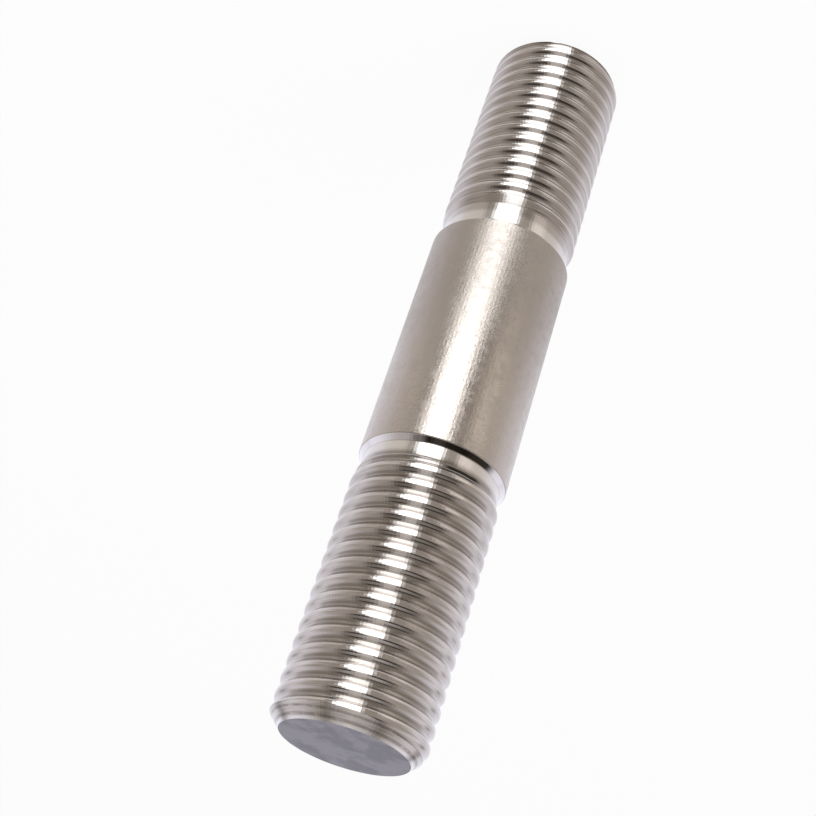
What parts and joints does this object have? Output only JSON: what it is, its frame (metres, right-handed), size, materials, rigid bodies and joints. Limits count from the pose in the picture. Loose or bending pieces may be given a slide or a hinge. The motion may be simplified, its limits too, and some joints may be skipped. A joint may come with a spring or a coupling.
{
  "type": "double ended stud",
  "caption": "Round steel stud with a rolled metric thread on each end and a plain shank between them.",
  "frame": {"origin": "middle of the flat lower end face", "axes": "+Z along the stud's axis, from the end with the longer neck to the other end; -Y faces the viewer"},
  "size_m": [0.022, 0.022, 0.122],
  "materials": {
    "steel": "bright machined steel, with fine scratches and small pits"
  },
  "bodies": {
    "root": {"stud": "steel"}
  },
  "joints": []
}
